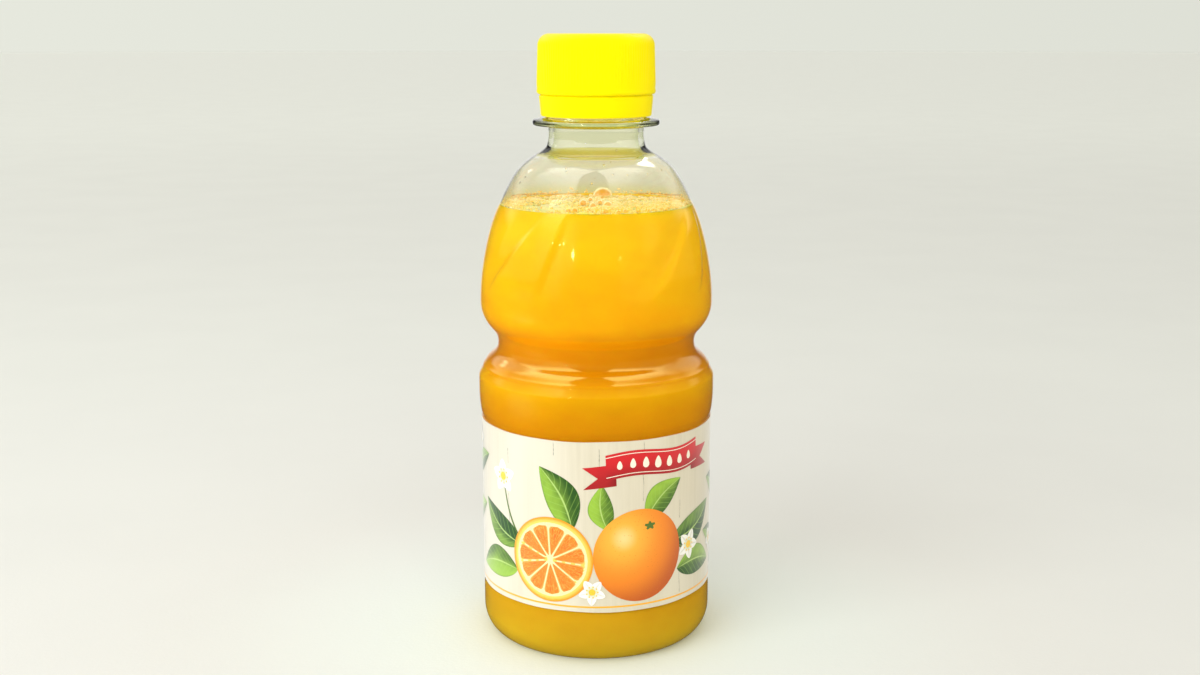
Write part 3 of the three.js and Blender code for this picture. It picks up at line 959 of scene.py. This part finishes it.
class Artwork(Print):
    """A plain fruit design of this script's own: oranges, leaves, blossoms and a ribbon."""

    leaves = 0

    def leaf(self, foot, tip, width, bend, layer):
        place = bowed(foot, tip, bend, lambda s: width / 2 * lens(s, 0.85, 0.9))
        self.field("leaf", place, (26, 8), layer, numbered(self.leaves))
        self.leaves += 1

    def stalk(self, foot, tip, width, bend, layer):
        place = bowed(foot, tip, bend, lambda s: width / 2 * (1 - 0.5 * s))
        self.field("stalk", place, (12, 1), layer)

    def disc(self, name, centre, radius, layer, steps, texture=None):
        def place(s, t):
            return from_centre(centre, 2 * math.pi * t, radius * s)

        def flat(s, t):
            return from_centre((0, 0), 2 * math.pi * t, s)

        self.field(name, place, steps, layer, texture or flat)

    def slice(self, centre, radius, layer):
        """A whole round slice: peel, pith and segments with walls between them."""
        self.disc("rind", centre, radius, layer, (12, 72), lambda s, t: (s, t))
        self.disc("pith", centre, radius * 0.875, layer + 1, (4, 60))
        for number, turn in enumerate(turns(SEGMENT_COUNT, 0.2)):
            self.segment(centre, radius, turn, number, layer + 2)

    def segment(self, centre, radius, turn, number, layer):
        start = radius * 0.10
        end = radius * (0.815 + 0.012 * math.sin(5 * number))
        gap = radius * 0.018

        def place(s, t):
            out = start + (end - start) * s
            half = max(out * math.tan(math.pi / SEGMENT_COUNT) - gap, 0.02 * radius)
            half *= (1 - (2 * s - 1) ** 8) ** 0.5
            return from_centre(centre, turn, out, half * (2 * t - 1))

        self.field("flesh", place, (18, 8), layer, numbered(number))

    def whole_orange(self, centre, radius, layer):
        self.disc("skin", centre, radius, layer, (14, 60))
        top = (centre[0] + radius * 0.22, centre[1] + radius * 0.62)
        for turn in turns(5, math.radians(20)):
            tip = (top[0] + 1.5 * math.cos(turn), top[1] + 1.1 * math.sin(turn))
            self.stalk(top, tip, 1.1, 0, layer + 1)

    def blossom(self, centre, radius, turn, layer):
        for number, petal_turn in enumerate(turns(5, turn)):
            self.petal(centre, radius, petal_turn, number, layer)
        self.disc("pollen", centre, radius * 0.24, layer + 1, (3, 20))
        for spot_turn in turns(9):
            spot = from_centre(centre, spot_turn, radius * 0.4)
            self.disc("pollen", spot, radius * 0.06, layer + 1, (1, 10))

    def petal(self, centre, radius, turn, number, layer):
        def place(s, t):
            aside = radius * 0.33 * lens(s, 0.75, 0.7) * (2 * t - 1)
            return from_centre(centre, turn, radius * (0.12 + 0.88 * s), aside)

        self.field("petal", place, (14, 6), layer, numbered(number))

    def ribbon(self, start, end, width, wave, layer):
        """A plain wavy ribbon with forked tails and a row of cream drops between two lines."""
        along, across = strip(start, end)
        forward = along / np.hypot(*along)
        body = bowed(start, end, wave, lambda s: width / 2, bows=2)

        def tail(root, sign):
            def place(s, t):
                notch = RIBBON_TAIL * (1 - 0.45 * (1 - abs(2 * t - 1))) * s
                spot = body(root, 0.5) + forward * sign * (notch - RIBBON_TAIL_OVERLAP)
                return spot + across * (width * 0.86 * (t - 0.5) - 2.0 - 0.6 * s)

            return place

        for root, sign in ((0, -1), (1, 1)):
            self.field("red", tail(root, sign), (8, 8), layer, lambda s, t: (0.45 * s, t * 0.5))
        self.field("red", body, (40, 6), layer + 1, lambda s, t: (0.25 + 0.5 * s, t))
        for number in range(7):
            self.drop(body((number + 1) / 8, 0.5), 1.25 - 0.12 * abs(number - 3), layer + 2)
        for level in (0.11, 0.89):
            self.field("cream", lambda s, t: body(s, level + 0.03 * (t - 0.5)), (40, 1), layer + 2)

    def drop(self, centre, size, layer):
        def place(s, t):
            turn = 2 * math.pi * t
            pinch = 0.72 - 0.28 * math.sin(turn)
            return centre + size * s * np.array([math.cos(turn) * pinch, 1.25 * math.sin(turn)])

        self.field("cream", place, (2, 24), layer)

    def crack(self, across, low, high, width, seed):
        """A hairline between two painted boards."""
        def place(s, t):
            up = low + (high - low) * s
            wander = 0.35 * noise.noise(Vector((seed * 3.7, up * 0.22, 0)))
            thin = 0.35 + 0.65 * abs(noise.noise(Vector((seed, up * 0.9, 7)))) * 2
            return across + wander + width * thin * (t - 0.5), up

        self.field("crack", place, (16, 1), 1)


BOARD_WIDTH = 12.6
BOARD_SEED = 11
FIELD_HEIGHT = LABEL_TOP - LABEL_BOTTOM
EDGE_STRIP = 1.3
EDGE_STRIP_WIDTH = 0.45
HALF_WAY = math.pi * LABEL_RADIUS
# Leaves of the main picture: foot, tip, width and bend
FRUIT_LEAVES = [
    ((-6, 22), (-15, 38), 9.0, -1.6),
    ((-20, 16), (-37, 25), 8.0, 1.8),
    ((-22, 9), (-40, 6), 8.5, -1.6),
    ((13, 24), (24, 33.5), 7.5, 1.4),
    ((21, 17), (39, 24), 8.5, -1.8),
    ((23, 9), (40, 7), 8.0, 1.5),
    ((3, 22), (1.5, 34), 6.5, 1.2),
]


def boards(art):
    """Broken hairlines at the joints of the printed boards, all round."""
    random = np.random.default_rng(BOARD_SEED)
    count = int(2 * HALF_WAY // BOARD_WIDTH)
    for number in range(count):
        across = (number + 0.5) * 2 * HALF_WAY / count - HALF_WAY + random.uniform(-2, 2)
        up = EDGE_STRIP + random.uniform(0, 8)
        while up < FIELD_HEIGHT - 3:
            end = min(up + random.uniform(2.5, 10), FIELD_HEIGHT - 0.6)
            art.crack(across, up, end, random.uniform(0.10, 0.24), number)
            up = end + random.uniform(1.5, 9)


def fruit_group(art, middle):
    """The main picture, round an arc length on the label."""
    def at(across, up):
        return middle + across, up

    for foot, tip, width, bend in FRUIT_LEAVES:
        art.leaf(at(*foot), at(*tip), width, bend, 2)
    art.stalk(at(-20, 16), at(-27, 31), 0.7, 1.2, 2)
    art.stalk(at(21, 17), at(29, 14), 0.7, -1.0, 2)
    art.whole_orange(at(11.5, 14.8), 12.3, 3)
    art.slice(at(-12.0, 13.6), 11.3, 5)
    art.blossom(at(-27.5, 33), 4.6, 0.4, 3)
    art.blossom(at(27.5, 14.5), 4.2, 1.1, 3)
    art.blossom(at(-1.0, 5.6), 3.6, 0.9, 8)
    art.ribbon(at(2.5, 38.4), at(30.5, 39.6), 6.6, 0.7, 3)


def side_sprig(art, middle):
    """A sprig of leaves with two blossoms, between the main pictures."""
    art.stalk((middle - 4, 4), (middle + 3, 40), 0.9, -2.5, 2)
    for sign, up in ((-1, 9), (1, 16), (-1, 23), (1, 30)):
        foot = middle - 3.2 + up * 0.17
        art.leaf((foot, up), (foot + sign * 11, up + 7), 5.4, sign * 1.1, 3)
    art.blossom((middle + 3.6, 39.5), 4.0, 0.2, 4)
    art.blossom((middle - 6.5, 12.0), 3.4, 0.8, 4)


def label_print():
    """The boards, two main pictures, two sprigs between them and a thin line at the foot."""
    art = Artwork()
    boards(art)
    for middle in (0, HALF_WAY):
        fruit_group(art, middle)
    for middle in (HALF_WAY / 2, -HALF_WAY / 2):
        side_sprig(art, middle)
    art.field("line", lambda s, t: ((2 * s - 1) * HALF_WAY, EDGE_STRIP + EDGE_STRIP_WIDTH * t), (240, 1), 1)
    art.finish("label_artwork")


# Froth, bubbles and droplets
FROTH_RISE = 0.9
FROTH_DEPTH = 0.8
TIDE_HALF_WIDTH = 0.16
BUBBLE_SEED = 5
SMALL_BUBBLE_COUNT = 2600
SMALL_BUBBLE_RADII = (0.2, 0.48)
FINE_BUBBLE_COUNT = 420
FINE_BUBBLE_RADII = (0.13, 0.32)
DROPLET_COUNT = 30
DROPLET_RADII = (0.15, 0.42)
DROPLET_SEED = 23
# Looks of small and large bubbles: colours of the middle and the rim, and the slants between which they fade
SMALL_BUBBLE_LOOK = ("bubble_film", (0.95, 0.56, 0.06), (1.0, 0.88, 0.38), 0.08, 0.5)
LARGE_BUBBLE_LOOK = ("bubble_skin", (0.80, 0.42, 0.05), (1.0, 0.92, 0.50), 0.16, 0.4)
# Large bubbles: place from the axis (x, y) and radius
LARGE_BUBBLES = [
    (-5.3, -17.3, 0.9), (-3.4, -0.9, 1.15), (-1.6, 7.8, 0.75), (-0.8, -6.5, 0.95), (1.0, 0.3, 0.85),
    (3.0, -6.5, 1.35), (-6.9, -17.4, 0.8), (2.4, -19.3, 0.9), (-2.2, -20.6, 0.7), (5.6, -21.0, 0.75),
    (7.4, -18.2, 0.7), (-9.4, -20.6, 0.6), (10.4, -19.6, 0.6), (14.2, -16.4, 0.7), (-1.9, -16.6, 0.75),
]
# A bubble against the wall behind: x, height and radius
WALL_BUBBLE = (1.8, 114.9, 2.8)
# Smooth raft of the finest froth: place from the axis, and radii across and from front to back
PALE_RAFT = (-13.2, -8.5)
PALE_RAFT_RADII = (5.6, 13.0)
DOME_REACH = math.radians(112)


def froth_height(x, y):
    """Height of the froth above the juice: thick at the front and the wall, thinner at the back."""
    near_wall = math.exp(-(WALL_AT_LEVEL - math.hypot(x, y)) / 1.6)
    front = 0.4 + 0.6 * float(smooth_step(-20, 4, -y))
    patchy = 0.5 + 0.9 * noise.noise(Vector((x * 0.16, y * 0.16, 3)))
    lumps = 0.35 * noise.noise(Vector((x * 0.9, y * 0.9, 5)))
    opened = sum(math.exp(-((x - a) ** 2 + (y - b) ** 2) / size**2) for a, b, size in LARGE_BUBBLES)
    near_wall *= 0.35 + 0.65 * front
    bed = 0.75 * near_wall + front * max(patchy, 0.25) * 0.8 + lumps * (near_wall + front) - 0.12
    return FROTH_RISE * (bed - 0.5 * opened)


def froth_shape(radius, height, angle):
    moved, unused = bottle_shape(radius, height, angle)
    if height[0] < JUICE_SURFACE - FROTH_DEPTH / 2:
        return moved, height
    turn = np.radians(angle)
    places = zip(moved * np.sin(turn), -moved * np.cos(turn))
    return moved, height + np.array([froth_height(x, y) for x, y in places])


def froth_bed():
    """Lumpy bed of the finest froth. Where there is none it lies under the surface of the juice."""
    wall = WALL_AT_LEVEL + 0.1
    underside = rows([0, wall], JUICE_SURFACE - FROTH_DEPTH)
    outline = np.concatenate([underside, rows(np.linspace(wall, 0, 70), JUICE_SURFACE)])
    piece("froth_bed", turned(outline, BOTTLE_SEGMENTS, froth_shape), [froth()], sharp=60)


def dome(centre, radius, axis, segments, rings, flatten=1.0):
    """A bubble or drop: a ball cut off a little below its middle, facing along an axis."""
    tilts = DOME_REACH * np.arange(rings, -1, -1) / rings
    points, faces = turned(rows(radius * np.sin(tilts), radius * flatten * np.cos(tilts)), segments)
    faces.append(list(range(segments))[::-1])
    axis = Vector(axis).normalized()
    sideways = axis.orthogonal().normalized()
    return points @ np.array([axis.cross(sideways), -sideways, axis]) + np.array(centre), faces


def surface_place(random):
    """A random place on the juice, likelier near the wall and at the front, and not on the raft."""
    wall = WALL_AT_LEVEL - 0.5
    wide, deep = PALE_RAFT_RADII
    while True:
        x, y = random.uniform(-wall, wall, 2)
        on_raft = math.hypot((x - PALE_RAFT[0]) / wide, (y - PALE_RAFT[1]) / deep) < 1
        if math.hypot(x, y) < wall and not on_raft:
            height = froth_height(x, y)
            if random.uniform() < max(height, 0) / FROTH_RISE:
                return x, y, height


def small_bubbles():
    """Small bubbles in the froth, and finer ones on the wall just above it."""
    random = np.random.default_rng(BUBBLE_SEED)
    parts = []
    for number in range(SMALL_BUBBLE_COUNT):
        x, y, height = surface_place(random)
        radius = random.uniform(*SMALL_BUBBLE_RADII) * (1 + 0.6 * (random.uniform() < 0.2))
        if any(math.hypot(x - a, y - b) < size + 0.6 * radius for a, b, size in LARGE_BUBBLES):
            continue
        parts.append(dome((x, y, JUICE_SURFACE + height - 0.3 * radius), radius, (0, 0, 1), 10, 3))
    for number in range(FINE_BUBBLE_COUNT):
        angle = random.uniform(0, 360)
        height = JUICE_LEVEL + abs(random.normal(0, 0.55)) + 0.1
        radius = random.uniform(*FINE_BUBBLE_RADII)
        parts.append(dome(in_wall(angle, height, 0.02), radius, -outward(angle), 10, 3))
    piece("small_bubbles", joined(parts), [bubble(*SMALL_BUBBLE_LOOK)], sharp=80)


def large_bubbles():
    parts = [dome((x, y, JUICE_SURFACE + 0.75), radius, (0, 0, 1), 28, 10) for x, y, radius in LARGE_BUBBLES]
    x, height, radius = WALL_BUBBLE
    wall = float(inner_radius(height)) - 1.2
    parts.append(dome((x, math.sqrt(wall**2 - x**2), height), radius, (0, -1, 0.3), 36, 12, 0.6))
    piece("large_bubbles", joined(parts), [bubble(*LARGE_BUBBLE_LOOK)], sharp=80)


def tide_line():
    """A thin uneven line of juice on the wall behind, where the froth is lowest."""
    steps = 90
    points = []
    for angle in np.linspace(110, 250, steps + 1):
        waver = 0.35 * noise.noise(Vector((angle * 0.06, 4, 1)))
        line = JUICE_LEVEL - 0.3 + 1.6 * math.sin(math.radians(angle)) ** 2 + waver
        for height in (line - TIDE_HALF_WIDTH, line + TIDE_HALF_WIDTH):
            points.append(in_wall(angle, height, 0.03))
    faces = [[2 * k, 2 * k + 1, 2 * k + 3, 2 * k + 2] for k in range(steps)]
    piece("tide_line", (points, faces), [tide_tone()], sharp=80)


def droplets():
    """Drops left on the inside of the shoulder and the foot of the neck."""
    random = np.random.default_rng(DROPLET_SEED)
    parts = []
    for number in range(DROPLET_COUNT):
        angle = random.uniform(0, 360)
        height = JUICE_LEVEL + 2 + 13 * random.uniform() ** 0.8
        radius = random.uniform(*DROPLET_RADII) * (1.5 if random.uniform() < 0.12 else 1)
        axis = Vector((0, 0, -0.4)) - outward(angle)
        parts.append(dome(in_wall(angle, height, -0.03), radius, axis, 12, 5, 0.5))
    piece("wall_droplets", joined(parts), [droplet()], sharp=80)


# Stage, lights and camera
# Colours of the floor by distance from the axis in metres. The lighter, greener colour close round the base
# is painted light, which lifts the shade and the orange glow that the bottle throws there.
FLOOR_COLOURS_AND_LIGHT = [
    (0.03, (0.84, 0.91, 0.84)),
    (0.12, (0.80, 0.815, 0.75)),
    (0.45, (0.81, 0.835, 0.76)),
    (2.5, (0.905, 0.945, 0.855)),
]
FLOOR_RADIUS = 12.0
BACKDROP_COLOUR = (0.765, 0.78, 0.70)
# Share by which the backdrop and the floor darken towards +X: painted shade, as the light comes more from the
# left
SHADE_SLOPE_TO_THE_RIGHT = 0.10
LIGHT_FROM_LEFT = (0.91, 0.88, 0.92)
LIGHT_FROM_RIGHT = (0.76, 0.73, 0.66)
CAMERA_PLACE = (0.001, -0.3864, 0.160)
CAMERA_PITCH = 11.71
CAMERA_LENS = 44.37

# What the plastic mirrors: a dark room, bright behind the bottle, with softboxes and two small windows.
# Each lit panel: azimuth from the camera's side where it starts and ends, foot and top elevation, level, and
# the elevations between which it dims, and its share of light below them.
ROOM_LEVEL = 0.06
THROUGH_LEVEL = 0.5
WALL_LEVEL = 0.90
PANELS = [
    (-118, -31, -5, 100, 2.6, 62, 30, 0.08),
    (-135, -110, 44, 100, 2.4, 62, 30, 0.08),
    (20, 118, -5, 100, 2.4, 66, 40, 0.04),
    (110, 135, 44, 100, 2.2, 66, 40, 0.04),
    (139, 157, 33, 54, 7.0, 20, 10, 1.0),
    (-142, -131, 24, 33, 2.0, 20, 10, 1.0),
]

# Rectangular lamps: azimuth from the camera's side towards +X, elevation, distance, width, height, power,
# colour, and height on the axis that each aims at
LAMPS = {
    "key": (-44, 26, 1.3, 0.9, 0.7, 6.6, (0.98, 1.0, 1.03), 0.085),
    "fill": (6, 36, 1.3, 0.9, 0.7, 3.0, WHITE, 0.085),
    "upper_right": (62, 20, 0.35, 0.12, 0.12, 0.22, (1.0, 0.86, 0.6), 0.12),
    "low_left": (-72, 5, 0.20, 0.10, 0.05, 0.115, (0.92, 1.0, 1.10), 0.010),
    "left_glint": (-24, 19, 0.75, 0.014, 0.03, 0.06, WHITE, 0.085),
    "leaf_glint": (-35, 23, 0.75, 0.02, 0.012, 0.03, WHITE, 0.085),
    "right_glint": (25, 17, 0.75, 0.008, 0.012, 0.004, WHITE, 0.085),
}
# Lamps that stand so close that they would leave a bright patch on the floor
CLOSE_LAMPS = ("upper_right", "low_left")


def floor():
    look = Look("pale_cloth")
    place = look.place()
    distance = look.distance(place, (0, 0, 0))
    # Painted light close round the base, then the floor's colours further out
    start, ground = FLOOR_COLOURS_AND_LIGHT[0]
    for end, colour in FLOOR_COLOURS_AND_LIGHT[1:]:
        ground = look.fade(distance, start, end, ground, colour)
        start = end
    # Painted shade: the floor darkens towards +X
    sideways = look.math("DIVIDE", look.parts(place)[0], distance + 0.4)
    ground = look.tinted(ground, sideways * -SHADE_SLOPE_TO_THE_RIGHT + 1)
    patches = look.fade(look.cloud(place, 14, 4), 0.3, 0.7, (0.985, 0.985, 0.985), WHITE)
    material = look.shader(
        Base_Color=look.tinted(ground, patches), Roughness=0.9, Specular_IOR_Level=0.1,
        Normal=look.bump(look.cloud(place, 900, 2), 0.2, 0.0003),
    )
    mesh = bpy.data.meshes.new("floor")
    corners = [outward(angle) * FLOOR_RADIUS for angle in np.linspace(0, 360, 64, endpoint=False)]
    mesh.from_pydata(corners, [], [range(64)])
    mesh.materials.append(material)
    made = linked("floor", mesh)
    made.visible_glossy = False
    return made


def panel(nodes, azimuth, elevation, start, end, foot, top, level, dims_from, dims_to, low_share):
    """A lit panel with soft edges, dimmer low down."""
    across = nodes.window(azimuth, start, end, min(8, (end - start) / 3))
    up = nodes.window(elevation, foot, top, min(10, (top - foot) / 3))
    share = nodes.step(elevation, dims_to, dims_from) * (1 - low_share) + low_share
    return across * up * share * level


def mirrored_room(nodes, through):
    """Brightness of the room in each direction, mirrored by glossy surfaces or seen through clear ones."""
    x, y, z = nodes.parts(nodes.place("Generated"))
    azimuth = nodes.math("DEGREES", nodes.math("ARCTAN2", x, y * -1))
    elevation = nodes.math("DEGREES", nodes.math("ARCSINE", z))
    behind = nodes.most(nodes.step(y, 0.90, 0.985), nodes.step(y, 0.5, 0.9) * through)
    above = nodes.step(z, 0.4, 0.75) * nodes.step(y, -0.05, 0.25)
    beside = nodes.step(z, 0.18, 0.32) * nodes.step(y, 0.2, 0.5)
    walls = nodes.most(behind, above, beside) * (WALL_LEVEL - ROOM_LEVEL) + ROOM_LEVEL
    level = nodes.most(walls, through * THROUGH_LEVEL)
    for row in PANELS:
        level = level + panel(nodes, azimuth, elevation, *row)
    return level


def surround():
    """Even pale light from all round. Glossy surfaces mirror a room with softboxes."""
    world = bpy.data.worlds.new("soft_studio")
    bpy.context.scene.world = world
    world.use_nodes = True
    nodes = Nodes(world.node_tree)
    x = nodes.parts(nodes.place("Generated"))[0]
    even = nodes.blend(x * 0.5 + 0.5, LIGHT_FROM_LEFT, LIGHT_FROM_RIGHT)
    # The backdrop, seen straight on, darkens towards +X: painted shade
    seen = nodes.tinted(BACKDROP_COLOUR, x * -SHADE_SLOPE_TO_THE_RIGHT + 1)
    diffuse = nodes.blend(nodes.ray("Camera"), even, seen)
    mirrored = mirrored_room(nodes, nodes.ray("Transmission"))
    background = world.node_tree.nodes["Background"]
    nodes.put(background.inputs["Color"], nodes.blend(nodes.ray("Glossy"), diffuse, mirrored))
    background.inputs["Strength"].default_value = 1.0


def lamp(name, azimuth, elevation, distance, width, height, power, colour, aim):
    data = bpy.data.lights.new(name, "AREA")
    data.shape = "RECTANGLE"
    data.size = width
    data.size_y = height
    data.energy = power
    data.color = colour
    made = linked(name, data)
    rise = math.radians(elevation)
    direction = outward(azimuth) * math.cos(rise) + Vector((0, 0, math.sin(rise)))
    made.location = Vector((0, 0, aim)) + direction * distance
    made.rotation_euler = direction.to_track_quat("Z", "Y").to_euler()
    made.visible_camera = False
    made.visible_glossy = name.endswith("glint")
    return made


def spare(light, floor):
    """Keeps a lamp from lighting the floor."""
    spared = bpy.data.collections.new("spared_by_" + light.name)
    spared.objects.link(floor)
    spared.collection_objects[0].light_linking.link_state = "EXCLUDE"
    light.light_linking.receiver_collection = spared


def lights(floor):
    for name, row in LAMPS.items():
        made = lamp(name, *row)
        if name in CLOSE_LAMPS:
            spare(made, floor)


def camera():
    data = bpy.data.cameras.new("camera")
    data.lens = CAMERA_LENS
    data.sensor_width = 36
    data.clip_start = 0.01
    made = linked("camera", data)
    made.location = CAMERA_PLACE
    made.rotation_euler = (math.radians(90 - CAMERA_PITCH), 0, 0)
    bpy.context.scene.camera = made


def light_paths():
    scene = bpy.context.scene
    scene.view_settings.view_transform = "Standard"
    scene.cycles.max_bounces = 16
    scene.cycles.transmission_bounces = 14
    scene.cycles.transparent_max_bounces = 16
    scene.cycles.sample_clamp_indirect = 6


camera()
light_paths()
surround()
lights(floor())
bottle()
juice()
froth_bed()
small_bubbles()
large_bubbles()
tide_line()
droplets()
cap_material = yellow_cap()
cap(cap_material)
tamper_band(cap_material)
label()
label_print()
